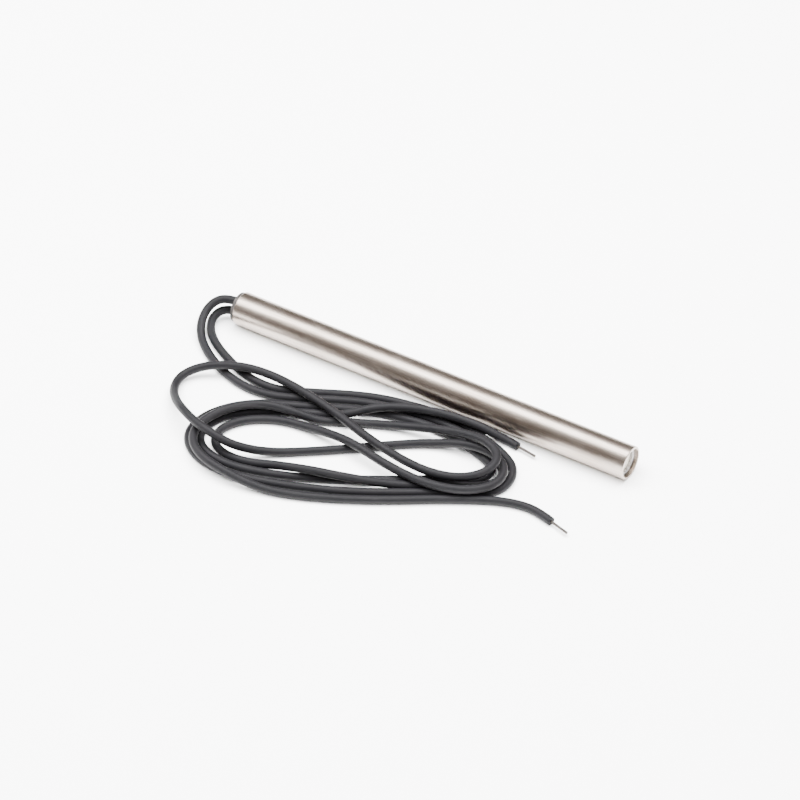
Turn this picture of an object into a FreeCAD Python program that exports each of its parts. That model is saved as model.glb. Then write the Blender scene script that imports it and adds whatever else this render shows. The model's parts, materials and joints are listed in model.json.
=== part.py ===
import FreeCAD, Part

import math
import os

import Sketcher

# Soil moisture sensor: a slim stainless tube with two insulated leads.
# The tube lies along X on the surface z = 0. Its lead end is at -X, its sensing tip at +X.
# Inside, from the lead end: rubber seal, potting, two crimped splices, a sealed bulkhead, then
# two electrode rods in a granular fill, closed by a gypsum wafer, a filter disc and a porous tip.

SIZES = {
    # tube
    "tube_length": 165.0,
    "tube_radius": 6.35,
    "tube_wall": 0.9,
    "edge_bevel": 0.4,
    # leads and their conductors
    "lead_radius": 1.6,
    "wire_radius": 0.5,
    "lead_rise": 2.4,
    "tail_length": 8.0,
    # lead end
    "seal_depth": 8.0,
    "lip_depth": 1.5,
    "lip_step": 0.6,
    "potting_depth": 12.0,
    "stub_length": 2.0,
    # splices
    "splice_room": 26.0,
    "ferrule_radius": 1.3,
    "ferrule_length": 12.0,
    "ferrule_gap": 5.0,
    "wire_entry": 5.5,
    "sleeve_wall": 0.3,
    "sleeve_overhang": 2.0,
    # bulkhead and its ring
    "bulkhead_depth": 6.0,
    "groove_width": 2.2,
    "groove_depth": 1.2,
    "ring_radius": 0.6,
    # sensing chamber
    "fit_gap": 0.05,
    "liner_wall": 0.6,
    "electrode_radius": 0.9,
    "spacer_depth": 3.0,
    "wafer_depth": 6.0,
    "filter_depth": 0.6,
    "tip_depth": 14.8,
    "tip_round": 0.5,
    # retaining ring in the tip's mouth
    "rim_depth": 1.4,
    "snap_thickness": 1.2,
    "snap_width": 1.8,
    "snap_seat": 0.35,
}

# Routes of the two leads, from the seal's face to their stripped ends.
# They lie in loose loops on the surface, and each pass over another lead is a long low hump.
LEAD_A_ROUTE = [
    (-84, 0, 8.75), (-88.2, -0.4, 8.8), (-91.5, -3, 8.4), (-93, -7.3, 6.8),
    (-92.4, -12.3, 4.5), (-89.6, -17, 2.4), (-84.5, -21.6, 1.6), (-77.5, -26.2, 1.6),
    (-69, -30, 1.6), (-60, -32, 1.6), (-50, -31.3, 1.6), (-40, -26.9, 1.6),
    (-29.5, -21.4, 1.6), (-18.5, -16.4, 1.6), (-5.5, -13.2, 1.6), (8, -11.6, 1.6),
    (20.5, -12.3, 1.6), (30, -15.6, 1.6), (37.8, -18.1, 1.6), (43.8, -22.9, 1.6),
    (44.2, -30, 1.6), (38.2, -34.9, 1.6), (29, -40, 1.6), (18, -46.8, 1.8),
    (7, -53.6, 4), (-5, -58.6, 5.4), (-16, -61.4, 5.4), (-27.5, -63.5, 3.6),
    (-37.5, -65.6, 1.6), (-46.2, -66.5, 1.6), (-53.5, -63.7, 1.6), (-56.1, -57.1, 1.6),
    (-53.5, -50, 1.6), (-47.5, -44.3, 1.6), (-39, -40.2, 1.6), (-29, -39, 2),
    (-18, -39.8, 4.3), (-7.5, -41.2, 5.4), (3, -43.6, 5.2), (14, -45.3, 5.2),
    (25, -45.6, 5.2), (35.5, -43.1, 5.2), (43.8, -37.6, 5.2), (46.9, -29.8, 5.2),
    (43.4, -22.4, 5.3), (35, -19.4, 5.3), (26, -20, 4.9), (17, -21.8, 2.4),
    (8, -26.4, 1.6), (-1.5, -33.5, 1.6), (-12, -42, 1.6), (-22.5, -49.6, 1.6),
    (-31.5, -56, 1.8), (-39, -61.6, 4), (-46, -65.3, 6.8), (-53, -65.8, 9),
    (-60.8, -64, 9.1), (-68.4, -60.5, 8.8), (-76.2, -54.2, 5.6), (-82, -46.8, 2.8),
    (-83.6, -39.3, 2.6), (-79.2, -33.2, 4), (-72.2, -29.3, 5.3), (-63.7, -26, 5.4),
    (-54.5, -24.6, 5.1), (-44, -25.6, 5.2), (-33, -27.7, 5.3), (-21.5, -30.6, 5.3),
    (-11, -34.1, 5.2), (1, -37.3, 5.2), (13, -39.8, 5.4), (24, -40.3, 5.6),
    (33.8, -38.3, 6.4), (40.6, -34, 8), (42.9, -27.9, 9), (40.3, -22, 9.1),
    (33.8, -18.9, 9.1), (24.5, -17.9, 7.6), (14, -18.9, 5.4), (2.5, -20.9, 3),
    (-8.5, -24.4, 1.6), (-18.5, -29, 1.6), (-27.5, -33.9, 1.6), (-36.5, -36.6, 4.2),
    (-45, -38.9, 5.5), (-52.6, -43.2, 5.5), (-58.2, -49.8, 5.3), (-61.2, -57.3, 5.3),
    (-61.4, -64.8, 5.3), (-57.5, -71.1, 5.3), (-50.5, -75, 5.2), (-41.5, -76.4, 4.6),
    (-32.5, -76.2, 3.2), (-23.5, -74.6, 1.9), (-14, -71.5, 1.6), (-5, -67.7, 1.6),
    (5, -62.7, 1.6), (17, -55.8, 1.6), (29.5, -47.7, 1.6), (40.5, -41.3, 1.6),
    (49.3, -36.8, 1.6), (57.2, -34.4, 1.6), (64.4, -34.4, 1.6), (70.8, -36.4, 1.6),
]
LEAD_B_ROUTE = [
    (-84, 0, 3.95), (-87.8, -0.5, 3.9), (-90.6, -3.3, 3.5), (-90.9, -7.6, 2.7),
    (-88.6, -12, 1.8), (-84, -16.4, 1.6), (-77, -20.7, 1.6), (-68.5, -24.7, 1.6),
    (-59.5, -27.4, 1.6), (-50.3, -27.4, 1.6), (-40, -23, 1.6), (-29, -17.4, 1.6),
    (-18, -12.6, 1.6), (-5.5, -9.6, 1.6), (8, -8, 1.6), (20, -8.7, 1.6),
    (30, -11.6, 1.6), (38.6, -14.6, 1.6), (45.4, -19, 1.6), (48.2, -26.5, 1.6),
    (46, -34.1, 1.6), (37.6, -39.3, 1.6), (27, -45.2, 1.6), (14.3, -53, 1.6),
    (0.5, -60.6, 1.6), (-13, -66.4, 1.6), (-26.5, -71.1, 1.6), (-39.5, -74, 1.6),
    (-51, -73.9, 1.6), (-60.3, -69.8, 1.6), (-65.3, -62.5, 1.6), (-65, -53.6, 1.6),
    (-60.6, -45.2, 1.6), (-53.8, -38.4, 1.6), (-45, -33.5, 1.6), (-35, -29.3, 1.6),
    (-24.5, -23.8, 1.6), (-14, -19.5, 1.6), (-2.5, -16.8, 1.6), (9, -15.3, 1.6),
    (20, -15.9, 1.6), (30.5, -19.2, 1.6), (37.8, -22, 1.6), (39.8, -26.1, 1.6),
    (38.5, -30.4, 1.6), (32, -34.4, 1.6), (23, -39.6, 1.6), (12.5, -46.3, 1.6),
    (1, -53, 1.6), (-10, -59.2, 1.6), (-20, -63.8, 1.6), (-30, -67.4, 1.6),
    (-41, -70.1, 1.6), (-51, -69.6, 1.6), (-58.6, -65.7, 1.6), (-61.6, -58.6, 1.6),
    (-59.6, -51, 1.6), (-54.5, -44.6, 1.6), (-47.5, -39.4, 1.6), (-39, -34.9, 1.6),
    (-31.5, -31.3, 1.6), (-25, -28.8, 1.6), (-18.5, -25.4, 3.2), (-12, -20.8, 5.5),
    (-4, -15.6, 5.5), (6, -11.8, 5.4), (16.5, -10, 5.3), (24.5, -9.4, 5.1),
    (29.6, -8.9, 3.9), (33.8, -8.2, 2.4), (37.4, -7.9, 1.6), (40.9, -8.5, 1.6),
]
RUN_SHARE = 0.45  # share of the shorter run that each bend may use

# Expressions on the sheet that several pieces share.
BORE = "(Sizes.tube_radius - Sizes.tube_wall)"
BULKHEAD_AT = "(Sizes.seal_depth + Sizes.potting_depth + Sizes.splice_room)"
CHAMBER_AT = "(%s + Sizes.bulkhead_depth)" % BULKHEAD_AT
SNAP_AT = "(Sizes.tube_length - Sizes.rim_depth - Sizes.snap_thickness)"
TIP_AT = "(%s - Sizes.tip_depth)" % SNAP_AT
FILTER_AT = "(%s - Sizes.filter_depth)" % TIP_AT
WAFER_AT = "(%s - Sizes.wafer_depth)" % FILTER_AT
SPACER_AT = "(%s - Sizes.spacer_depth)" % WAFER_AT
FERRULE_AT = "(Sizes.seal_depth + Sizes.potting_depth + Sizes.stub_length + Sizes.ferrule_gap)"
FERRULE_END = "(%s + Sizes.ferrule_length)" % FERRULE_AT
LINER_RADIUS = "(%s - Sizes.fit_gap)" % BORE
LINER_BORE = "(%s - Sizes.liner_wall)" % LINER_RADIUS
FILL_RADIUS = "(%s - Sizes.fit_gap)" % LINER_BORE

doc = FreeCAD.newDocument("SoilMoistureSensor")
sheet = doc.addObject("Spreadsheet::Sheet", "Sizes")
for row, (alias, size) in enumerate(SIZES.items(), start=1):
    cell = "A%d" % row
    sheet.set(cell, str(size))
    sheet.setAlias(cell, alias)
doc.recompute()

nodes = []


def value(expression):
    """Number that an expression on the sheet gives."""
    return float(doc.getObject("Sizes").evalExpression(expression.replace("Sizes.", "")))


def origin_plane(body, role):
    return next(feature for feature in body.Origin.OriginFeatures if feature.Role == role)


def new_sketch(body, name, role):
    sketch = body.newObject("Sketcher::SketchObject", name)
    sketch.AttachmentSupport = [(origin_plane(body, role), "")]
    sketch.MapMode = "FlatFace"
    return sketch


def pin_coordinate(sketch, line, direction, axis, expression):
    """Tie the start of a sketch line to an expression, or to the axis where that is zero."""
    if expression == "0":
        sketch.addConstraint(Sketcher.Constraint("PointOnObject", line, 1, axis))
        return
    constraint = Sketcher.Constraint(direction, -1, 1, line, 1, value(expression))
    index = sketch.addConstraint(constraint)
    sketch.setExpression("Constraints[%d]" % index, expression)


def turned(label, start, outline, rise="0"):
    """Body turned about its own X axis from an outline of (distance along, radius) expressions."""
    body = doc.addObject("PartDesign::Body", label)
    body.Label = label
    sketch = new_sketch(body, label + "_outline", "XZ_Plane")
    corners = [FreeCAD.Vector(value(along), value(radius), 0) for along, radius in outline]
    for corner, following in zip(corners, corners[1:] + corners[:1]):
        sketch.addGeometry(Part.LineSegment(corner, following))
    count = len(corners)
    for line in range(count):
        sketch.addConstraint(Sketcher.Constraint("Coincident", line, 2, (line + 1) % count, 1))
    for line, (along, radius) in enumerate(outline):
        pin_coordinate(sketch, line, "DistanceX", -2, along)
        pin_coordinate(sketch, line, "DistanceY", -1, radius)
    turn = body.newObject("PartDesign::Revolution", label + "_turn")
    turn.Profile = sketch
    turn.ReferenceAxis = (sketch, ["H_Axis"])
    turn.Angle = 360
    body.setExpression("Placement.Base.x", "%s - Sizes.tube_length / 2" % start)
    body.setExpression("Placement.Base.z", "Sizes.tube_radius + %s" % rise)
    doc.recompute()
    nodes.append(body)
    return body


def bar(label, start, length, radius, rise="0"):
    """Plain round bar."""
    return turned(label, start, [("0", "0"), (length, "0"), (length, radius), ("0", radius)], rise)


def ring(label, start, length, inner, outer, rise="0"):
    """Plain round sleeve."""
    outline = [("0", inner), (length, inner), (length, outer), ("0", outer)]
    return turned(label, start, outline, rise)


def bore_pair(body, radius):
    """Two through holes, one above and one below the axis, that the leads or rods pass."""
    sketch = new_sketch(body, body.Label + "_holes", "YZ_Plane")
    for side in (1, -1):
        centre = FreeCAD.Vector(0, side * value("Sizes.lead_rise"), 0)
        hole = sketch.addGeometry(Part.Circle(centre, FreeCAD.Vector(0, 0, 1), value(radius)))
        sketch.addConstraint(Sketcher.Constraint("PointOnObject", hole, 3, -2))
        offset = Sketcher.Constraint("DistanceY", -1, 1, hole, 3, centre.y)
        sign = "" if side > 0 else "-"
        sketch.setExpression("Constraints[%d]" % sketch.addConstraint(offset), sign + "Sizes.lead_rise")
        index = sketch.addConstraint(Sketcher.Constraint("Radius", hole, value(radius)))
        sketch.setExpression("Constraints[%d]" % index, radius)
    before = body.Shape.Volume
    pocket = body.newObject("PartDesign::Pocket", body.Label + "_bores")
    pocket.Profile = sketch
    pocket.Type = "ThroughAll"
    pocket.Reversed = True
    doc.recompute()
    if body.Shape.Volume >= before:
        raise RuntimeError(body.Label + ": the holes cut nothing")


def lead_route(points, share):
    """Straight runs joined by tangent arcs, each as large as its two runs allow."""
    edges = []
    radii = []
    start = points[0]
    for before, corner, after in zip(points, points[1:], points[2:]):
        arriving = corner - before
        leaving = after - corner
        reach = share * min(arriving.Length, leaving.Length)
        arriving.normalize()
        leaving.normalize()
        half_turn = arriving.getAngle(leaving) / 2
        radius = reach / math.tan(half_turn)
        inward = leaving - arriving
        inward.normalize()
        middle = corner + inward * (radius / math.cos(half_turn) - radius)
        arc_start = corner - arriving * reach
        arc_end = corner + leaving * reach
        edges.append(Part.LineSegment(start, arc_start).toShape())
        edges.append(Part.Arc(arc_start, middle, arc_end).toShape())
        radii.append(radius)
        start = arc_end
    edges.append(Part.LineSegment(start, points[-1]).toShape())
    return Part.Wire(edges), radii


def along(direction):
    """Turn the Z axis to a direction."""
    return FreeCAD.Rotation(FreeCAD.Vector(0, 0, 1), direction)


def free_lead(label, route):
    """Lead's insulation swept along its route, and the stripped conductor at its free end."""
    points = [FreeCAD.Vector(*point) for point in route]
    wire, radii = lead_route(points, RUN_SHARE)
    path = doc.addObject("Part::Feature", label + "_path")
    path.Shape = wire
    section = doc.addObject("Part::Circle", label + "_section")
    section.setExpression("Radius", "Sizes.lead_radius")
    section.Placement = FreeCAD.Placement(points[0], along(points[1] - points[0]))
    sweep = doc.addObject("Part::Sweep", label)
    sweep.Label = label
    sweep.Sections = [section]
    sweep.Spine = (path, ["Edge%d" % (edge + 1) for edge in range(len(wire.Edges))])
    sweep.Solid = True
    doc.recompute()
    nodes.append(sweep)

    expected = math.pi * value("Sizes.lead_radius") ** 2 * wire.Length
    print("%s: %.1f mm long, smallest radius %.1f mm, volume %.1f of %.1f mm3"
          % (label, wire.Length, min(radii), sweep.Shape.Volume, expected))
    print("   radii", " ".join("%.1f" % radius for radius in radii))
    if abs(sweep.Shape.Volume - expected) > 0.01 * expected:
        raise RuntimeError(label + ": the tube's volume is wrong")

    tail = doc.addObject("Part::Cylinder", label + "_bare_end")
    tail.Label = label + "_bare_end"
    tail.setExpression("Radius", "Sizes.wire_radius")
    tail.setExpression("Height", "Sizes.tail_length")
    tail.Placement = FreeCAD.Placement(points[-1], along(points[-1] - points[-2]))
    doc.recompute()
    nodes.append(tail)


def sensor_tube():
    """Stainless tube with bevelled ends and an inner groove for the retaining ring."""
    groove = "(%s + Sizes.snap_seat)" % BORE
    length = "Sizes.tube_length"
    bevel = "Sizes.edge_bevel"
    snap_end = "(%s + Sizes.snap_thickness)" % SNAP_AT
    turned("sensor_tube", "0", [
        ("0", BORE),
        (SNAP_AT, BORE),
        (SNAP_AT, groove),
        (snap_end, groove),
        (snap_end, BORE),
        (length, BORE),
        (length, "Sizes.tube_radius - " + bevel),
        ("%s - %s" % (length, bevel), "Sizes.tube_radius"),
        (bevel, "Sizes.tube_radius"),
        ("0", "Sizes.tube_radius - " + bevel),
    ])


def lead_end():
    """Rubber seal with a lip on the tube's end, and the potting behind it."""
    lip = "Sizes.lip_depth"
    lip_radius = "Sizes.tube_radius - Sizes.lip_step"
    depth = "%s + Sizes.seal_depth" % lip
    seal = turned("lead_seal", "-" + lip, [
        ("0", "0"),
        (depth, "0"),
        (depth, BORE),
        (lip, BORE),
        (lip, lip_radius),
        ("0.3 * " + lip, lip_radius),
        ("0", "%s - 0.3 * %s" % (lip_radius, lip)),
    ])
    bore_pair(seal, "Sizes.lead_radius")
    potting = bar("potting_plug", "Sizes.seal_depth", "Sizes.potting_depth", BORE)
    bore_pair(potting, "Sizes.lead_radius")


def splice(letter, rise):
    """One lead's inner end, its conductor, crimp ferrule, shrink sleeve and electrode rod."""
    lip = "Sizes.lip_depth"
    inner_length = "%s + Sizes.seal_depth + Sizes.potting_depth + Sizes.stub_length" % lip
    wire_length = "%s + Sizes.ferrule_gap + Sizes.wire_entry" % inner_length
    ring("lead_%s_inner" % letter, "-" + lip, inner_length, "Sizes.wire_radius", "Sizes.lead_radius", rise)
    bar("wire_%s_inner" % letter, "-" + lip, wire_length, "Sizes.wire_radius", rise)
    ring("ferrule_" + letter, FERRULE_AT, "Sizes.ferrule_length", "Sizes.wire_radius",
         "Sizes.ferrule_radius", rise)
    ring("splice_sleeve_" + letter, "%s - Sizes.sleeve_overhang" % FERRULE_AT,
         "Sizes.ferrule_length + 2 * Sizes.sleeve_overhang", "Sizes.ferrule_radius",
         "Sizes.ferrule_radius + Sizes.sleeve_wall", rise)
    start = "(%s - Sizes.wire_entry)" % FERRULE_END
    neck = "(%s - %s)" % (CHAMBER_AT, start)
    reach = "(%s + Sizes.spacer_depth - %s)" % (SPACER_AT, start)
    turned("electrode_" + letter, start, [
        ("0", "0"),
        (reach, "0"),
        (reach, "Sizes.electrode_radius"),
        (neck, "Sizes.electrode_radius"),
        (neck, "Sizes.wire_radius"),
        ("0", "Sizes.wire_radius"),
    ], rise)


def bulkhead():
    """Plastic partition with a grooved rim and its rubber ring."""
    groove_start = "(Sizes.bulkhead_depth - Sizes.groove_width) / 2"
    groove_end = "(Sizes.bulkhead_depth + Sizes.groove_width) / 2"
    rim = "(%s - Sizes.fit_gap)" % BORE
    floor = "(%s - Sizes.groove_depth)" % BORE
    partition = turned("bulkhead", BULKHEAD_AT, [
        ("0", "0"),
        ("Sizes.bulkhead_depth", "0"),
        ("Sizes.bulkhead_depth", rim),
        (groove_end, rim),
        (groove_end, floor),
        (groove_start, floor),
        (groove_start, rim),
        ("0", rim),
    ])
    bore_pair(partition, "Sizes.wire_radius")

    seal = doc.addObject("Part::Torus", "bulkhead_ring")
    seal.Label = "bulkhead_ring"
    seal.setExpression("Radius1", "%s - Sizes.groove_depth + Sizes.ring_radius" % BORE)
    seal.setExpression("Radius2", "Sizes.ring_radius")
    seal.Placement = FreeCAD.Placement(FreeCAD.Vector(), along(FreeCAD.Vector(1, 0, 0)))
    middle = "%s + Sizes.bulkhead_depth / 2 - Sizes.tube_length / 2" % BULKHEAD_AT
    seal.setExpression("Placement.Base.x", middle)
    seal.setExpression("Placement.Base.z", "Sizes.tube_radius")
    doc.recompute()
    nodes.append(seal)


def sensing_chamber():
    """Liner, granular fill, rod spacer, gypsum wafer, filter disc, porous tip and its ring."""
    ring("electrode_liner", CHAMBER_AT, "%s - %s" % (FILTER_AT, CHAMBER_AT), LINER_BORE, LINER_RADIUS)
    fill = bar("matrix_fill", CHAMBER_AT, "%s - %s" % (SPACER_AT, CHAMBER_AT), FILL_RADIUS)
    bore_pair(fill, "Sizes.electrode_radius")
    spacer = bar("electrode_spacer", SPACER_AT, "Sizes.spacer_depth", FILL_RADIUS)
    bore_pair(spacer, "Sizes.electrode_radius")
    bar("gypsum_wafer", WAFER_AT, "Sizes.wafer_depth", FILL_RADIUS)
    bar("filter_disc", FILTER_AT, "Sizes.filter_depth", LINER_RADIUS)
    turned("porous_tip", TIP_AT, [
        ("0", "0"),
        ("Sizes.tip_depth", "0"),
        ("Sizes.tip_depth", "%s - Sizes.tip_round" % LINER_RADIUS),
        ("Sizes.tip_depth - Sizes.tip_round", LINER_RADIUS),
        ("0", LINER_RADIUS),
    ])
    seat = "%s + Sizes.snap_seat" % BORE
    ring("retaining_ring", SNAP_AT, "Sizes.snap_thickness", "%s - Sizes.snap_width" % seat, seat)


def check_model():
    """Stop if any object failed or any piece is not a sound solid."""
    for item in doc.Objects:
        if "Invalid" in item.State or "Error" in item.State:
            raise RuntimeError(item.Label + " failed to build")
    for node in nodes:
        if node.Shape.isNull() or not node.Shape.isValid() or not node.Shape.Solids:
            raise RuntimeError(node.Label + " is not a sound solid")


sensor_tube()
lead_end()
for letter, rise in (("a", "Sizes.lead_rise"), ("b", "-Sizes.lead_rise")):
    splice(letter, rise)
bulkhead()
sensing_chamber()
free_lead("lead_a", LEAD_A_ROUTE)
free_lead("lead_b", LEAD_B_ROUTE)
doc.recompute()
check_model()

os.makedirs("parts", exist_ok=True)
for node in nodes:
    node.Shape.exportStep(os.path.join("parts", node.Label + ".step"))
print(len(nodes), "pieces written")
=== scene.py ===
import json
import math

import bmesh
import bpy
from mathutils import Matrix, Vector


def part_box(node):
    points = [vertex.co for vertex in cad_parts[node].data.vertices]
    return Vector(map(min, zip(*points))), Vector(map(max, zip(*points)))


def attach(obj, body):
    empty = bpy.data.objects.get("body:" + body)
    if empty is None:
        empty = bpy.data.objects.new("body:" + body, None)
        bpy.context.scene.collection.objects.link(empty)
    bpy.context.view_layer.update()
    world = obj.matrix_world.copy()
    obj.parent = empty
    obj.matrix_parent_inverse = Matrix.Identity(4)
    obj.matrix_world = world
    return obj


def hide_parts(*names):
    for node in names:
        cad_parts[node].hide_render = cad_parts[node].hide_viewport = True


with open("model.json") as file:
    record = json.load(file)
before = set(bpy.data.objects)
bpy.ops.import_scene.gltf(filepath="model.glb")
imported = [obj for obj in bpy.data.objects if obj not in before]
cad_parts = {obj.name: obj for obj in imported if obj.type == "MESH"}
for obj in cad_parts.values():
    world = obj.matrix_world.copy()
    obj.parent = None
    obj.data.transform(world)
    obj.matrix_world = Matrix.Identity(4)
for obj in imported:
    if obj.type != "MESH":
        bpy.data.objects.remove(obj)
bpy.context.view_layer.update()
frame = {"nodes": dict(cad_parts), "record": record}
print("frame loaded:", len(frame["nodes"]), "nodes")

mm = 0.001  # the scene is in metres
sharpAngle = math.radians(40)  # edges that turn more stay sharp


def halfHeight(node):  # radius of a round piece that lies along X
    low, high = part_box(node)
    return (high.z - low.z) / 2


tubeLow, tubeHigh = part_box("sensor_tube")
tubeRadius = halfHeight("sensor_tube")
axisHeight = (tubeHigh.z + tubeLow.z) / 2
boreRadius = halfHeight("potting_plug")
leadRadius = halfHeight("lead_a_inner")
wireRadius = halfHeight("wire_a_inner")


class Field:  # one socket, so that sums on it read as sums
    def __init__(self, net, socket):
        self.net = net
        self.socket = socket

    def __add__(self, other):
        return self.net.maths("ADD", self, other)

    def __sub__(self, other):
        return self.net.maths("SUBTRACT", self, other)

    def __rsub__(self, other):
        return self.net.maths("SUBTRACT", other, self)

    def __mul__(self, other):
        return self.net.maths("MULTIPLY", self, other)

    __radd__ = __add__
    __rmul__ = __mul__


class Net:  # a node tree, of a material, of the world or of Geometry Nodes
    def __init__(self, tree):
        self.tree = tree

    def node(self, kind, settings=None, sockets=None, out=0):
        made = self.tree.nodes.new(kind)
        for name, setting in (settings or {}).items():
            setattr(made, name, setting)
        for name, given in (sockets or {}).items():
            if isinstance(given, Field):
                self.tree.links.new(given.socket, made.inputs[name])
            else:
                made.inputs[name].default_value = given
        return Field(self, made.outputs[out]) if len(made.outputs) else made

    def maths(self, operation, first, second=0.0):
        return self.node("ShaderNodeMath", {"operation": operation}, {0: first, 1: second})

    def scaled(self, place, scale):
        return self.node("ShaderNodeVectorMath", {"operation": "MULTIPLY"}, {0: place, 1: scale})

    def step(self, value, low, high):  # 0 below low, 1 above high
        return self.node("ShaderNodeMapRange", {"interpolation_type": "SMOOTHSTEP"},
                         {"Value": value, "From Min": low, "From Max": high})

    def blend(self, factor, first, second):  # sockets 6 and 7 are the two colours, output 2 the mix
        shades = [x if isinstance(x, Field) else (*x, 1) for x in (first, second)]
        return self.node("ShaderNodeMix", {"data_type": "RGBA"}, {0: factor, 6: shades[0], 7: shades[1]}, 2)


class Finish(Net):  # one material; its patterns are in millimetres
    def __init__(self, name, attribute=None):
        self.material = bpy.data.materials.new(name)
        self.material.use_nodes = True
        super().__init__(self.material.node_tree)
        self.tree.nodes.clear()
        if attribute:
            self.place = self.node("ShaderNodeAttribute", {"attribute_name": attribute}, out="Vector")
        else:
            metres = self.node("ShaderNodeTexCoord", out="Object")
            self.place = self.scaled(metres, (1000, 1000, 1000))

    def noise(self, scale, detail=3.0, stretch=(1, 1, 1)):
        return self.node("ShaderNodeTexNoise", None, {
            "Vector": self.scaled(self.place, stretch), "Scale": scale, "Detail": detail})

    def cells(self, scale, feature="F1", stretch=(1, 1, 1)):
        return self.node("ShaderNodeTexVoronoi", {"feature": feature}, {
            "Vector": self.scaled(self.place, stretch), "Scale": scale}, "Distance")

    def bump(self, height, depth, strength=1.0):
        return self.node("ShaderNodeBump", None, {
            "Height": height, "Distance": depth * mm, "Strength": strength})

    def surface(self, sockets):
        shader = self.node("ShaderNodeBsdfPrincipled", None, sockets)
        self.node("ShaderNodeOutputMaterial", None, {"Surface": shader})
        return self.material


steelLook = {"pale": (0.44, 0.385, 0.34), "warm": (0.33, 0.272, 0.23), "roughness": 0.29}


def polishedSteel():  # drawn along X, then polished: long fine lines under a sheen
    steel = Finish("polishedSteel")
    smears = steel.noise(0.09, 3, (0.5, 1, 1))
    lines = steel.noise(2.2, 4, (0.03, 1, 1))
    fine = steel.noise(9, 2, (0.02, 1, 1))
    haze = steel.step(steel.noise(0.35, 5, (0.25, 1, 1)), 0.5, 0.75)
    streaks = steel.step(lines * 0.5 + smears * 0.5, 0.35, 0.65)
    shade = steel.blend(streaks, steelLook["pale"], steelLook["warm"])
    return steel.surface({
        "Base Color": shade, "Metallic": 1.0,
        "Roughness": steelLook["roughness"] + 0.07 * haze + 0.06 * fine,
        "Normal": steel.bump(lines * 0.7 + fine * 0.3, 0.004, 0.4)})


def springSteel():
    steel = Finish("springSteel")
    rolled = steel.noise(3, 4, (1, 0.3, 0.3))
    tarnish = steel.step(steel.noise(0.8, 4), 0.45, 0.7)
    return steel.surface({
        "Base Color": steel.blend(tarnish, (0.46, 0.46, 0.47), (0.30, 0.28, 0.26)), "Metallic": 1.0,
        "Roughness": 0.28 + 0.2 * tarnish, "Normal": steel.bump(rolled, 0.01, 0.4)})


def electrodeSteel():
    rod = Finish("electrodeSteel")
    drawn = rod.noise(6, 3, (0.03, 1, 1))
    return rod.surface({
        "Base Color": rod.blend(drawn, (0.66, 0.66, 0.66), (0.50, 0.50, 0.51)), "Metallic": 1.0,
        "Roughness": 0.2 + 0.15 * drawn, "Normal": rod.bump(drawn, 0.006, 0.5)})


def sealRubber():
    rubber = Finish("sealRubber")
    dust = rubber.step(rubber.noise(0.7, 5), 0.5, 0.75)
    skin = rubber.cells(5)
    return rubber.surface({
        "Base Color": rubber.blend(dust, (0.020, 0.017, 0.016), (0.060, 0.052, 0.048)),
        "Roughness": 0.6 + 0.2 * dust, "Normal": rubber.bump(skin, 0.02, 0.5)})


def pottingResin():
    resin = Finish("pottingResin")
    swirls = resin.noise(0.5, 5)
    bubbles = resin.step(resin.cells(1.3), 0.08, 0.14)
    return resin.surface({
        "Base Color": resin.blend(swirls, (0.035, 0.015, 0.012), (0.09, 0.045, 0.035)),
        "Roughness": 0.12 + 0.15 * swirls, "Coat Weight": 0.4, "Normal": resin.bump(bubbles, 0.05, 0.4)})


leadLook = {"dark": (0.004, 0.004, 0.0048), "pale": (0.0085, 0.008, 0.0088), "scuffed": (0.022, 0.021, 0.022)}


def leadInsulation(name, stretch, attribute=None):  # stretch runs the extrusion lines along the lead
    skin = Finish(name, attribute)
    flow = skin.noise(1.6, 3, stretch)
    patches = skin.noise(0.12, 4)
    scuffs = skin.step(skin.noise(0.5, 5, stretch), 0.6, 0.78)
    grit = skin.noise(6, 2)
    shade = skin.blend(patches, leadLook["dark"], leadLook["pale"])
    return skin.surface({
        "Base Color": skin.blend(scuffs * 0.6, shade, leadLook["scuffed"]),
        "Roughness": 0.50 + 0.14 * patches + 0.12 * scuffs, "Specular IOR Level": 0.15,
        "Normal": skin.bump(flow * 0.8 + grit * 0.2, 0.025, 0.5)})


def tinnedCopper():
    wire = Finish("tinnedCopper")
    drawn = wire.noise(7, 3, (0.3, 1, 1))
    worn = wire.step(wire.noise(1.4, 4), 0.58, 0.72)
    return wire.surface({
        "Base Color": wire.blend(worn, (0.13, 0.118, 0.108), (0.17, 0.10, 0.06)), "Metallic": 1.0,
        "Roughness": 0.42 + 0.2 * drawn, "Normal": wire.bump(drawn, 0.006, 0.4)})


def shrinkSleeve():
    sleeve = Finish("shrinkSleeve")
    wrinklesAndShade = sleeve.noise(1.2, 3, (0.5, 1, 1))
    fine = sleeve.cells(7)
    return sleeve.surface({
        # darker in the troughs of the wrinkles, paler on their crests: painted shade in the creases
        "Base Color": sleeve.blend(wrinklesAndShade, (0.015, 0.015, 0.016), (0.035, 0.034, 0.034)),
        "Roughness": 0.38 + 0.15 * wrinklesAndShade, "Normal": sleeve.bump(wrinklesAndShade * 0.8 + fine * 0.2, 0.05, 0.5)})


def whitePlastic():
    plastic = Finish("whitePlastic")
    flow = plastic.noise(0.3, 4, (1, 1, 0.4))
    skin = plastic.cells(8)
    return plastic.surface({
        "Base Color": plastic.blend(flow, (0.80, 0.79, 0.75), (0.72, 0.71, 0.66)),
        "Roughness": 0.4 + 0.12 * flow, "Normal": plastic.bump(skin, 0.01, 0.4)})


def granularFill():
    grains = Finish("granularFill")
    shadedGaps = grains.cells(1.6)
    tints = grains.noise(1.6, 2)
    sand = grains.blend(tints, (0.70, 0.60, 0.46), (0.42, 0.34, 0.26))
    return grains.surface({
        # the gaps between grains are painted near-black: painted shade where the grains meet
        "Base Color": grains.blend(grains.step(shadedGaps, 0.35, 0.7), sand, (0.16, 0.13, 0.10)),
        "Roughness": 0.85, "Normal": grains.bump(1 - shadedGaps, 0.3, 0.9)})


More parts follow.
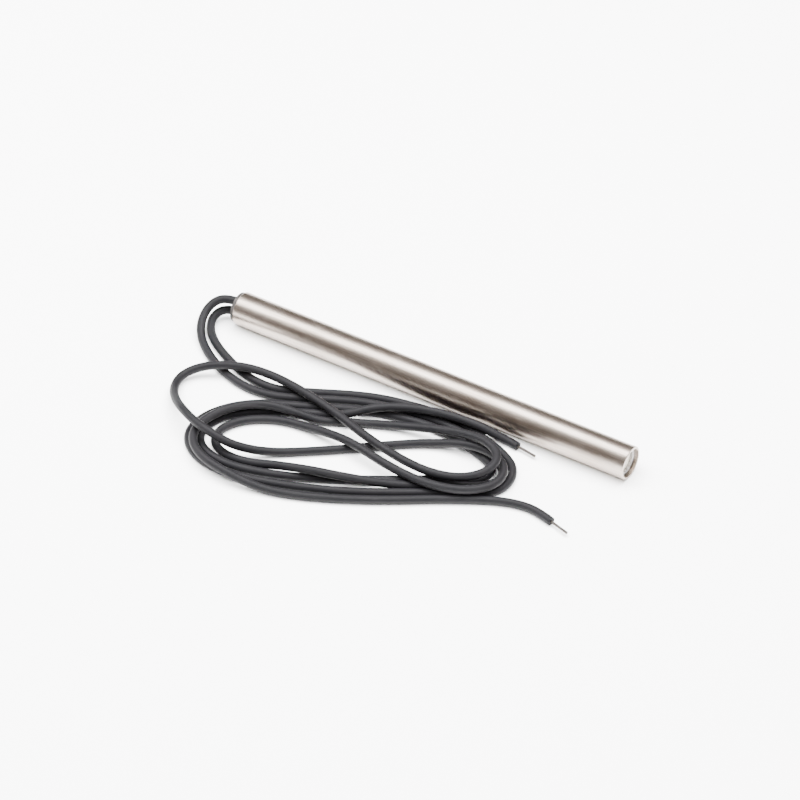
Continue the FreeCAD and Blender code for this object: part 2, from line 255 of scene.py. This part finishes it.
def gypsum():
    wafer = Finish("gypsum")
    chalk = wafer.noise(0.9, 5)
    pits = wafer.step(wafer.cells(2.5), 0.05, 0.2)
    return wafer.surface({
        "Base Color": wafer.blend(chalk, (0.86, 0.84, 0.80), (0.76, 0.73, 0.68)),
        "Roughness": 0.8 + 0.15 * chalk, "Normal": wafer.bump(pits * 0.6 + chalk * 0.4, 0.06, 0.6)})


def filterCloth():
    cloth = Finish("filterCloth")
    oneWay = cloth.noise(5, 3, (1, 1, 0.08))
    otherWay = cloth.noise(5, 3, (1, 0.08, 1))
    fibresAndShade = cloth.maths("MAXIMUM", oneWay, otherWay)
    return cloth.surface({
        # darker between the fibres: painted shade in the gaps of the weave
        "Base Color": cloth.blend(cloth.step(fibresAndShade, 0.45, 0.7), (0.55, 0.53, 0.48), (0.80, 0.79, 0.75)),
        "Roughness": 0.9, "Normal": cloth.bump(fibresAndShade, 0.08, 0.8)})


def porousCeramic():
    body = Finish("porousCeramic")
    tints = body.noise(0.6, 5)
    shadedPores = body.step(body.cells(2.2), 0.12, 0.4)
    pale = body.blend(tints, (0.82, 0.77, 0.69), (0.68, 0.62, 0.53))
    return body.surface({
        # the pores are painted dark brown: painted shade inside the pits that the bump sinks
        "Base Color": body.blend(shadedPores, (0.36, 0.31, 0.26), pale),
        "Roughness": 0.8 + 0.15 * tints, "Normal": body.bump(shadedPores * 0.7 + tints * 0.3, 0.12, 0.7)})


leadSkinFinish = leadInsulation("leadInsulation", (1, 1, 0.05), "leadPlace")
finishes = {
    "polished_steel": polishedSteel(),
    "spring_steel": springSteel(),
    "electrode_steel": electrodeSteel(),
    "seal_rubber": sealRubber(),
    "potting_resin": pottingResin(),
    "lead_insulation": leadInsulation("leadInsulationInside", (0.05, 1, 1)),
    "tinned_copper": tinnedCopper(),
    "shrink_sleeve": shrinkSleeve(),
    "white_plastic": whitePlastic(),
    "granular_fill": granularFill(),
    "gypsum": gypsum(),
    "filter_cloth": filterCloth(),
    "porous_ceramic": porousCeramic(),
}
for part in frame["record"]["subparts"]:
    mesh = frame["nodes"][part["node"]].data
    mesh.materials.clear()
    mesh.materials.append(finishes[part["material_slot"]])
print("finishes made:", len(finishes))


def settled(name, shape):  # object from a finished bmesh, faces outward
    bmesh.ops.remove_doubles(shape, verts=shape.verts, dist=0.5e-6)
    bmesh.ops.recalc_face_normals(shape, faces=shape.faces)
    mesh = bpy.data.meshes.new(name)
    shape.to_mesh(mesh)
    shape.free()
    mesh.shade_smooth()
    mesh.set_sharp_from_angle(angle=sharpAngle)
    piece = bpy.data.objects.new(name, mesh)
    bpy.context.scene.collection.objects.link(piece)
    return piece


def standFor(piece, node, slot):  # the piece takes a node's place and its slot's finish
    if not piece.data.materials:
        piece.data.materials.append(finishes[slot])
    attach(piece, "root")
    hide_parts(node)


def rounded(corners, steps=5):  # line through (x, radius, rounding) corners
    line = []
    for index, (x, radius, rounding) in enumerate(corners):
        corner = Vector((x, radius))
        before = Vector(corners[index - 1][:2])
        after = Vector(corners[(index + 1) % len(corners)][:2])
        start = corner + (before - corner).normalized() * rounding
        end = corner + (after - corner).normalized() * rounding
        for step in range(steps + 1 if rounding else 1):
            t = step / steps
            line.append(start * (1 - t) ** 2 + corner * 2 * t * (1 - t) + end * t ** 2)
    return line


def revolve(shape, line, sides, rise=0.0):  # closed line of (x, radius) round an axis along X
    loops = []
    for x, radius in line:
        loop = []
        for side in range(sides):
            turn = 2 * math.pi * side / sides
            height = axisHeight + rise + radius * math.cos(turn)
            loop.append(shape.verts.new((x, radius * math.sin(turn), height)))
        loops.append(loop)
    for index, loop in enumerate(loops):
        following = loops[(index + 1) % len(loops)]
        if line[index][1] == line[(index + 1) % len(line)][1] == 0:
            continue  # both points lie on the axis
        for side in range(sides):
            after = (side + 1) % sides
            shape.faces.new((loop[side], loop[after], following[after], following[side]))


tubeSet = {
    "sides": 160,
    "outerRound": 0.45 * mm,
    "innerRound": 0.2 * mm,
    "grooveRound": 0.08 * mm,
}


def makeTube():
    ringLow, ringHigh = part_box("retaining_ring")
    seatRadius = halfHeight("retaining_ring")
    inner, outer, groove = tubeSet["innerRound"], tubeSet["outerRound"], tubeSet["grooveRound"]
    shape = bmesh.new()
    revolve(shape, rounded([
        (tubeLow.x, boreRadius, inner),
        (ringLow.x, boreRadius, groove),
        (ringLow.x, seatRadius, groove),
        (ringHigh.x, seatRadius, groove),
        (ringHigh.x, boreRadius, groove),
        (tubeHigh.x, boreRadius, inner),
        (tubeHigh.x, tubeRadius, outer),
        (tubeLow.x, tubeRadius, outer),
    ]), tubeSet["sides"])
    standFor(settled("tubeBody", shape), "sensor_tube", "polished_steel")


sealSet = {
    "sides": 96,
    "rimWidth": 0.9 * mm,
    "rimTaper": 0.2 * mm,
    "dish": 0.5 * mm,           # depth of the face behind the rim
    "backRound": 0.4 * mm,
    "seatRound": 0.1 * mm,      # where the lip meets the tube
    "lipRound": 0.5 * mm,
    "rimRound": 0.25 * mm,
    "dishRound": 0.15 * mm,
    "collarSides": 48,
    "collarWidth": 0.5 * mm,
    "collarRoot": 0.1 * mm,     # how deep a collar starts in the face
    "collarOuterRound": 0.3 * mm,
    "collarInnerRound": 0.1 * mm,
}


def makeSeal():  # lipped plug with a collar round each lead
    low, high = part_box("lead_seal")
    lipRadius = halfHeight("lead_seal")
    rim = lipRadius - sealSet["rimWidth"]
    face = low.x + sealSet["dish"]
    shape = bmesh.new()
    revolve(shape, rounded([
        (high.x, 0, 0),
        (high.x, boreRadius, sealSet["backRound"]),
        (tubeLow.x, boreRadius, 0),
        (tubeLow.x, lipRadius, sealSet["seatRound"]),
        (low.x, lipRadius, sealSet["lipRound"]),
        (low.x, rim, sealSet["rimRound"]),
        (face, rim - sealSet["rimTaper"], sealSet["dishRound"]),
        (face, 0, 0),
    ]), sealSet["sides"])
    for letter in "ab":
        leadLow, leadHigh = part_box("lead_%s_inner" % letter)
        collar = leadRadius + sealSet["collarWidth"]
        root = face + sealSet["collarRoot"]
        revolve(shape, rounded([
            (root, leadRadius, 0),
            (root, collar, 0),
            (low.x, collar, sealSet["collarOuterRound"]),
            (low.x, leadRadius, sealSet["collarInnerRound"]),
        ]), sealSet["collarSides"], (leadLow.z + leadHigh.z) / 2 - axisHeight)
    standFor(settled("sealPlug", shape), "lead_seal", "seal_rubber")


class Recipe(Net):  # one Geometry Nodes tree with named inputs
    def __init__(self, name, amounts):
        group = bpy.data.node_groups.new(name, "GeometryNodeTree")
        super().__init__(group)
        group.interface.new_socket("Geometry", in_out="INPUT", socket_type="NodeSocketGeometry")
        group.interface.new_socket("Geometry", in_out="OUTPUT", socket_type="NodeSocketGeometry")
        kinds = {int: "NodeSocketInt", float: "NodeSocketFloat", list: "NodeSocketVector"}
        self.amounts = {}
        for label, amount in amounts.items():
            socket = group.interface.new_socket(label, in_out="INPUT", socket_type=kinds[type(amount)])
            self.amounts[socket.identifier] = amount
        self.entry = group.nodes.new("NodeGroupInput")

    def given(self, label):
        return Field(self, self.entry.outputs[label])

    def joined(self, *shapes):
        meeting = self.tree.nodes.new("GeometryNodeJoinGeometry")
        for shape in shapes:
            self.tree.links.new(shape.socket, meeting.inputs[0])
        return Field(self, meeting.outputs[0])

    def tube(self, curve, profile):
        return self.node("GeometryNodeCurveToMesh", None, {
            "Curve": curve, "Profile Curve": profile, "Fill Caps": True})

    def moved(self, shape, place, turn=(0, 0, 0)):
        return self.node("GeometryNodeTransform", None, {
            "Geometry": shape, "Translation": place, "Rotation": turn})

    def built(self, name, shape, material, base=None):  # the tree's result as a plain mesh object
        whole = self.node("GeometryNodeRealizeInstances", None, {"Geometry": shape})
        finished = self.node("GeometryNodeSetMaterial", None, {"Geometry": whole, "Material": material})
        self.node("NodeGroupOutput", None, {"Geometry": finished})
        holder = base or bpy.data.objects.new(name + "Holder", bpy.data.meshes.new(name))
        if not base:
            bpy.context.scene.collection.objects.link(holder)
        modifier = holder.modifiers.new(name, "NODES")
        modifier.node_group = self.tree
        for identifier, amount in self.amounts.items():
            modifier[identifier] = amount
        bpy.context.view_layer.update()
        evaluated = holder.evaluated_get(bpy.context.evaluated_depsgraph_get())
        mesh = bpy.data.meshes.new_from_object(evaluated)
        bpy.data.objects.remove(holder)
        mesh.name = name
        mesh.shade_smooth()
        mesh.set_sharp_from_angle(angle=sharpAngle)
        piece = bpy.data.objects.new(name, mesh)
        bpy.context.scene.collection.objects.link(piece)
        return piece


tipSet = {
    "sides": 96,
    "backRound": 0.3 * mm,
    "faceRound": 0.5 * mm,
    "grainyDepth": 0.3 * mm,  # how far down the rounded edge the grains go
    "grainSize": 0.16 * mm,
    "smallestGrain": 0.5,     # share of the largest
    "grainsPerArea": 7.0e6,   # per square metre
    "seed": 4,
}


def makeTip():  # ceramic plug whose open face shows sintered grains
    low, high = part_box("porous_tip")
    radius = halfHeight("porous_tip")
    shape = bmesh.new()
    revolve(shape, rounded([
        (low.x, 0, 0),
        (low.x, radius, tipSet["backRound"]),
        (high.x, radius, tipSet["faceRound"]),
        (high.x, 0, 0),
    ]), tipSet["sides"])
    plug = settled("tipBase", shape)
    recipe = Recipe("sinteredGrains", {
        "Grain size": tipSet["grainSize"], "Grains per area": tipSet["grainsPerArea"],
        "Seed": tipSet["seed"], "Face at": high.x})
    place = recipe.node("GeometryNodeInputPosition")
    along = recipe.node("ShaderNodeSeparateXYZ", None, {0: place}, "X")
    onFace = recipe.maths("GREATER_THAN", along, recipe.given("Face at") - tipSet["grainyDepth"])
    spots = recipe.node("GeometryNodeDistributePointsOnFaces", None, {
        "Mesh": recipe.given("Geometry"), "Selection": onFace,
        "Density": recipe.given("Grains per area"), "Seed": recipe.given("Seed")})
    sizes = recipe.node("FunctionNodeRandomValue", None, {  # 2 and 3 are its least and most
        2: tipSet["smallestGrain"], 3: 1.0, "Seed": recipe.given("Seed")}, 1)
    grain = recipe.node("GeometryNodeMeshIcoSphere", None, {
        "Radius": recipe.given("Grain size"), "Subdivisions": 1})
    grains = recipe.node("GeometryNodeInstanceOnPoints", None, {
        "Points": spots, "Instance": grain, "Scale": sizes})
    whole = recipe.joined(recipe.given("Geometry"), grains)
    piece = recipe.built("tipCeramic", whole, finishes["porous_ceramic"], plug)
    standFor(piece, "porous_tip", "porous_ceramic")


snapSet = {
    "width": 1.8 * mm,
    "gapDegrees": 34.0,
    "edgeRound": 0.18 * mm,
    "edgeSteps": 4,
    "steps": 96,
}


def makeSnapRing():  # open ring of rounded strip, its gap at the top
    low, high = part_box("retaining_ring")
    outside = halfHeight("retaining_ring")
    sweep = math.radians(360 - snapSet["gapDegrees"])
    recipe = Recipe("openRing", {
        "Middle radius": outside - snapSet["width"] / 2, "Width": snapSet["width"],
        "Thickness": high.x - low.x, "Edge round": snapSet["edgeRound"], "Sweep": sweep,
        "Place": [(low.x + high.x) / 2, 0.0, axisHeight]})
    arc = recipe.node("GeometryNodeCurveArc", {"mode": "RADIUS"}, {
        "Resolution": snapSet["steps"], "Radius": recipe.given("Middle radius"),
        "Start Angle": math.radians(snapSet["gapDegrees"] / 2), "Sweep Angle": recipe.given("Sweep")})
    strip = recipe.node("GeometryNodeCurvePrimitiveQuadrilateral", {"mode": "RECTANGLE"}, {
        "Width": recipe.given("Width"), "Height": recipe.given("Thickness")})
    section = recipe.node("GeometryNodeFilletCurve", {"mode": "POLY"}, {
        "Curve": strip, "Count": snapSet["edgeSteps"],
        "Radius": recipe.given("Edge round"), "Limit Radius": True})
    lying = recipe.tube(arc, section)
    standing = recipe.moved(lying, recipe.given("Place"), (0, -math.pi / 2, 0))
    standFor(recipe.built("snapRing", standing, finishes["spring_steel"]), "retaining_ring", "spring_steel")


leadSet = {
    "sides": 28,
    "samples": 6,         # points along each stretch of the route
    "outOfRound": 0.012,  # share of the radius
    "waves": (310, 97),   # its short and long wave, in radians per metre
    "rimRound": 0.15 * mm,
    "rimSteps": 4,
    "boreSlack": 1.04,    # bore against conductor
    "boreChamfer": 0.12 * mm,
    "chamferDepth": 0.1 * mm,
    "boreDepth": 1.5 * mm,
    "tail": 8.0 * mm,     # stripped end
    "aLength": 0.98,
    "bLength": 0.67,
    "aPhase": 0.4,        # so that the two leads' unevenness differs
    "bPhase": 2.1,
}
strandSet = {"around": 6, "turns": 1.3, "splay": 1.04, "steps": 40, "sides": 12}


def makeStrands(letter, start, heading):  # one core and six twisted wires
    node = "lead_%s_bare_end" % letter.lower()
    length = leadSet["tail"]
    thin = wireRadius / 3
    turn = heading.to_track_quat("Z", "Y").to_euler()
    recipe = Recipe("twistedStrands" + letter, {
        "Length": length + leadSet["boreDepth"], "Strand radius": thin, "Lay radius": 2 * thin,
        "Turns": strandSet["turns"], "Around": strandSet["around"],
        "Place": list(start - heading * leadSet["boreDepth"]), "Turn": list(turn)})
    section = recipe.node("GeometryNodeCurvePrimitiveCircle", {"mode": "RADIUS"}, {
        "Resolution": strandSet["sides"], "Radius": recipe.given("Strand radius")})
    helix = recipe.node("GeometryNodeCurveSpiral", None, {
        "Resolution": strandSet["steps"], "Rotations": recipe.given("Turns"),
        "Start Radius": recipe.given("Lay radius"), "Height": recipe.given("Length"),
        "End Radius": recipe.given("Lay radius") * strandSet["splay"]})
    strand = recipe.tube(helix, section)
    spots = recipe.node("GeometryNodePoints", None, {"Count": recipe.given("Around")})
    index = recipe.node("GeometryNodeInputIndex")
    spin = recipe.node("ShaderNodeCombineXYZ", None, {"Z": index * (2 * math.pi / strandSet["around"])})
    ring = recipe.node("GeometryNodeInstanceOnPoints", None, {
        "Points": spots, "Instance": strand, "Rotation": spin})
    top = recipe.node("ShaderNodeCombineXYZ", None, {"Z": recipe.given("Length")})
    core = recipe.tube(recipe.node("GeometryNodeCurvePrimitiveLine", None, {"End": top}), section)
    placed = recipe.moved(recipe.joined(ring, core), recipe.given("Place"), recipe.given("Turn"))
    piece = recipe.built("lead%sStrands" % letter, placed, finishes["tinned_copper"])
    standFor(piece, node, "tinned_copper")
    return piece


leadARoute = [
    (-84, 0, 8.75), (-88.2, -0.4, 8.8), (-91.5, -3, 8.4), (-93, -7.3, 6.8),
    (-92.4, -12.3, 4.5), (-89.6, -17, 2.4), (-84.5, -21.6, 1.6), (-77.5, -26.2, 1.6),
    (-69, -30, 1.6), (-60, -32, 1.6), (-50, -31.3, 1.6), (-40, -26.9, 1.6),
    (-29.5, -21.4, 1.6), (-18.5, -16.4, 1.6), (-5.5, -13.2, 1.6), (8, -11.6, 1.6),
    (20.5, -12.3, 1.6), (30, -15.6, 1.6), (37.8, -18.1, 1.6), (43.8, -22.9, 1.6),
    (44.2, -30, 1.6), (38.2, -34.9, 1.6), (29, -40, 1.6), (18, -46.8, 1.8),
    (7, -53.6, 4), (-5, -58.6, 5.4), (-16, -61.4, 5.4), (-27.5, -63.5, 3.6),
    (-37.5, -65.6, 1.6), (-46.2, -66.5, 1.6), (-53.5, -63.7, 1.6), (-56.1, -57.1, 1.6),
    (-53.5, -50, 1.6), (-47.5, -44.3, 1.6), (-39, -40.2, 1.6), (-29, -39, 2),
    (-18, -39.8, 4.3), (-7.5, -41.2, 5.4), (3, -43.6, 5.2), (14, -45.3, 5.2),
    (25, -45.6, 5.2), (35.5, -43.1, 5.2), (43.8, -37.6, 5.2), (46.9, -29.8, 5.2),
    (43.4, -22.4, 5.3), (35, -19.4, 5.3), (26, -20, 4.9), (17, -21.8, 2.4),
    (8, -26.4, 1.6), (-1.5, -33.5, 1.6), (-12, -42, 1.6), (-22.5, -49.6, 1.6),
    (-31.5, -56, 1.8), (-39, -61.6, 4), (-46, -65.3, 6.8), (-53, -65.8, 9),
    (-60.8, -64, 9.1), (-68.4, -60.5, 8.8), (-76.2, -54.2, 5.6), (-82, -46.8, 2.8),
    (-83.6, -39.3, 2.6), (-79.2, -33.2, 4), (-72.2, -29.3, 5.3), (-63.7, -26, 5.4),
    (-54.5, -24.6, 5.1), (-44, -25.6, 5.2), (-33, -27.7, 5.3), (-21.5, -30.6, 5.3),
    (-11, -34.1, 5.2), (1, -37.3, 5.2), (13, -39.8, 5.4), (24, -40.3, 5.6),
    (33.8, -38.3, 6.4), (40.6, -34, 8), (42.9, -27.9, 9), (40.3, -22, 9.1),
    (33.8, -18.9, 9.1), (24.5, -17.9, 7.6), (14, -18.9, 5.4), (2.5, -20.9, 3),
    (-8.5, -24.4, 1.6), (-18.5, -29, 1.6), (-27.5, -33.9, 1.6), (-36.5, -36.6, 4.2),
    (-45, -38.9, 5.5), (-52.6, -43.2, 5.5), (-58.2, -49.8, 5.3), (-61.2, -57.3, 5.3),
    (-61.4, -64.8, 5.3), (-57.5, -71.1, 5.3), (-50.5, -75, 5.2), (-41.5, -76.4, 4.6),
    (-32.5, -76.2, 3.2), (-23.5, -74.6, 1.9), (-14, -71.5, 1.6), (-5, -67.7, 1.6),
    (5, -62.7, 1.6), (17, -55.8, 1.6), (29.5, -47.7, 1.6), (40.5, -41.3, 1.6),
    (49.3, -36.8, 1.6), (57.2, -34.4, 1.6), (64.4, -34.4, 1.6), (70.8, -36.4, 1.6),
]
leadBRoute = [
    (-84, 0, 3.95), (-87.8, -0.5, 3.9), (-90.6, -3.3, 3.5), (-90.9, -7.6, 2.7),
    (-88.6, -12, 1.8), (-84, -16.4, 1.6), (-77, -20.7, 1.6), (-68.5, -24.7, 1.6),
    (-59.5, -27.4, 1.6), (-50.3, -27.4, 1.6), (-40, -23, 1.6), (-29, -17.4, 1.6),
    (-18, -12.6, 1.6), (-5.5, -9.6, 1.6), (8, -8, 1.6), (20, -8.7, 1.6),
    (30, -11.6, 1.6), (38.6, -14.6, 1.6), (45.4, -19, 1.6), (48.2, -26.5, 1.6),
    (46, -34.1, 1.6), (37.6, -39.3, 1.6), (27, -45.2, 1.6), (14.3, -53, 1.6),
    (0.5, -60.6, 1.6), (-13, -66.4, 1.6), (-26.5, -71.1, 1.6), (-39.5, -74, 1.6),
    (-51, -73.9, 1.6), (-60.3, -69.8, 1.6), (-65.3, -62.5, 1.6), (-65, -53.6, 1.6),
    (-60.6, -45.2, 1.6), (-53.8, -38.4, 1.6), (-45, -33.5, 1.6), (-35, -29.3, 1.6),
    (-24.5, -23.8, 1.6), (-14, -19.5, 1.6), (-2.5, -16.8, 1.6), (9, -15.3, 1.6),
    (20, -15.9, 1.6), (30.5, -19.2, 1.6), (37.8, -22, 1.6), (39.8, -26.1, 1.6),
    (38.5, -30.4, 1.6), (32, -34.4, 1.6), (23, -39.6, 1.6), (12.5, -46.3, 1.6),
    (1, -53, 1.6), (-10, -59.2, 1.6), (-20, -63.8, 1.6), (-30, -67.4, 1.6),
    (-41, -70.1, 1.6), (-51, -69.6, 1.6), (-58.6, -65.7, 1.6), (-61.6, -58.6, 1.6),
    (-59.6, -51, 1.6), (-54.5, -44.6, 1.6), (-47.5, -39.4, 1.6), (-39, -34.9, 1.6),
    (-31.5, -31.3, 1.6), (-25, -28.8, 1.6), (-18.5, -25.4, 3.2), (-12, -20.8, 5.5),
    (-4, -15.6, 5.5), (6, -11.8, 5.4), (16.5, -10, 5.3), (24.5, -9.4, 5.1),
    (29.6, -8.9, 3.9), (33.8, -8.2, 2.4), (37.4, -7.9, 1.6), (40.9, -8.5, 1.6),
]


def routeLine(name, route):  # points along the smooth line that the lead follows
    curve = bpy.data.curves.new(name, "CURVE")
    curve.dimensions = "3D"
    curve.resolution_u = leadSet["samples"]
    spline = curve.splines.new("NURBS")
    spline.points.add(len(route) - 1)
    for point, place in zip(spline.points, route):
        point.co = (*(Vector(place) * mm), 1)
    spline.order_u = 3
    spline.use_endpoint_u = True
    holder = bpy.data.objects.new(name, curve)
    bpy.context.scene.collection.objects.link(holder)
    bpy.context.view_layer.update()
    line = bpy.data.meshes.new_from_object(holder.evaluated_get(bpy.context.evaluated_depsgraph_get()))
    points = [vertex.co.copy() for vertex in line.vertices]
    bpy.data.objects.remove(holder)
    bpy.data.meshes.remove(line)
    return points


def wiggle(along, phase):  # slow, small change of the lead's thickness
    short, long = leadSet["waves"]
    return math.sin(along * short + phase) * math.sin(along * long + 2 * phase)


def skinRings(points, radius, phase):  # (place, direction, radius, distance along) from end to end
    rings = []
    along = 0.0
    for index, point in enumerate(points):
        before = points[max(index - 1, 0)]
        after = points[min(index + 1, len(points) - 1)]
        along += (point - before).length
        width = radius * (1 + leadSet["outOfRound"] * wiggle(along, phase))
        rings.append((point, (after - before).normalized(), width, along))
    end, heading, width, along = rings.pop()
    back = leadSet["rimRound"]
    hole = wireRadius * leadSet["boreSlack"]
    for step in range(leadSet["rimSteps"] + 1):  # rounded rim of the cut
        turn = math.radians(90 * step / leadSet["rimSteps"])
        inset = back * (1 - math.sin(turn))
        rings.append((end - heading * inset, heading, width - back * (1 - math.cos(turn)), along - inset))
    rings.append((end, heading, hole + leadSet["boreChamfer"], along))
    rings.append((end - heading * leadSet["chamferDepth"], heading, hole, along))
    rings.append((end - heading * leadSet["boreDepth"], heading, hole, along - leadSet["boreDepth"]))
    return rings


def leadSkin(name, points, phase):
    rings = skinRings(points, leadRadius, phase)
    sides = leadSet["sides"]
    shape = bmesh.new()
    layer = shape.verts.layers.float_vector.new("leadPlace")
    side = rings[0][1].orthogonal().normalized()
    loops = []
    for place, heading, width, along in rings:
        side = (side - heading * side.dot(heading)).normalized()
        other = heading.cross(side)
        loop = []
        for corner in range(sides):
            turn = 2 * math.pi * corner / sides
            across = side * math.cos(turn) + other * math.sin(turn)
            vertex = shape.verts.new(place + across * width)
            vertex[layer] = (math.cos(turn) * width / mm, math.sin(turn) * width / mm, along / mm)
            loop.append(vertex)
        loops.append(loop)
    for loop, following in zip(loops, loops[1:]):
        for corner in range(sides):
            neighbour = (corner + 1) % sides
            shape.faces.new((loop[corner], loop[neighbour], following[neighbour], following[corner]))
    for loop, (place, _, _, along) in ((loops[0], rings[0]), (loops[-1], rings[-1])):
        pole = shape.verts.new(place)
        pole[layer] = (0, 0, along / mm)
        for corner in range(sides):
            shape.faces.new((pole, loop[corner], loop[(corner + 1) % sides]))
    return settled(name, shape)


for letter, route, length, phase in (("A", leadARoute, leadSet["aLength"], leadSet["aPhase"]),
                                     ("B", leadBRoute, leadSet["bLength"], leadSet["bPhase"])):
    line = routeLine("leadRoute" + letter, route)
    lead = leadSkin("lead" + letter + "Skin", line, phase)
    lead.data.materials.append(leadSkinFinish)
    standFor(lead, "lead_" + letter.lower(), "lead_insulation")
    strands = makeStrands(letter, line[-1], (line[-1] - line[-2]).normalized())
print("leads laid")

makeTube()
makeSeal()
makeTip()
makeSnapRing()
print("tube, seal, tip and ring made")

studio = {
    "floorShade": (0.93, 0.93, 0.93),
    "floorSize": 6.0,
    "airShade": (1.0, 1.0, 1.0),
    "airStrength": 1.0,
    "roomShade": (0.22, 0.195, 0.175),  # what polished metal mirrors beside the lamps
}
softboxSet = {"place": (-0.304, -0.0135, 0.7), "size": (1.4, 0.38), "power": 30, "turn": 20, "mirrored": True}
ceilingSet = {"place": (0, 0, 2.0), "size": (3.0, 3.0), "power": 430, "turn": 0, "mirrored": False}


def makeFloor():
    shape = bmesh.new()
    bmesh.ops.create_grid(shape, x_segments=2, y_segments=2, size=studio["floorSize"] / 2)
    floor = settled("floor", shape)
    paper = Finish("paper")
    floor.data.materials.append(paper.surface({
        "Base Color": (*studio["floorShade"], 1), "Roughness": 0.9}))


def makeLight(name, panel):  # panel that faces down, turned about Z
    light = bpy.data.lights.new(name, "AREA")
    light.shape = "RECTANGLE"
    light.size, light.size_y = panel["size"]
    light.energy = panel["power"]
    lamp = bpy.data.objects.new(name, light)
    lamp.location = panel["place"]
    lamp.rotation_euler = (0, 0, math.radians(panel["turn"]))
    lamp.visible_glossy = panel["mirrored"]
    bpy.context.scene.collection.objects.link(lamp)


def makeWorld():
    world = bpy.data.worlds.new("studioAir")
    world.use_nodes = True
    air = Net(world.node_tree)
    world.node_tree.nodes.clear()
    glossy = air.node("ShaderNodeLightPath", out="Is Glossy Ray")
    shade = air.blend(glossy, studio["airShade"], studio["roomShade"])
    glow = air.node("ShaderNodeBackground", None, {"Color": shade, "Strength": studio["airStrength"]})
    air.node("ShaderNodeOutputWorld", None, {"Surface": glow})
    bpy.context.scene.world = world


cameraSet = {
    "target": (0, 0, 6.35 * mm),
    "azimuth": 31.0,
    "elevation": 41.6,
    "distance": 1.65,
    "lens": 204.4,
    "sensor": 36,
    "shift": (-0.0406, -0.0198),
}


def makeCamera():
    azimuth = math.radians(cameraSet["azimuth"])
    elevation = math.radians(cameraSet["elevation"])
    back = Vector((math.sin(azimuth) * math.cos(elevation),
                   -math.cos(azimuth) * math.cos(elevation), math.sin(elevation)))
    data = bpy.data.cameras.new("camera")
    data.lens = cameraSet["lens"]
    data.sensor_width = cameraSet["sensor"]
    data.shift_x, data.shift_y = cameraSet["shift"]
    camera = bpy.data.objects.new("camera", data)
    camera.location = Vector(cameraSet["target"]) + back * cameraSet["distance"]
    camera.rotation_mode = "QUATERNION"
    camera.rotation_quaternion = (-back).to_track_quat("-Z", "Y")
    bpy.context.scene.collection.objects.link(camera)
    bpy.context.scene.camera = camera


makeFloor()
makeWorld()
makeLight("softbox", softboxSet)
makeLight("ceiling", ceilingSet)
makeCamera()
print("studio set")
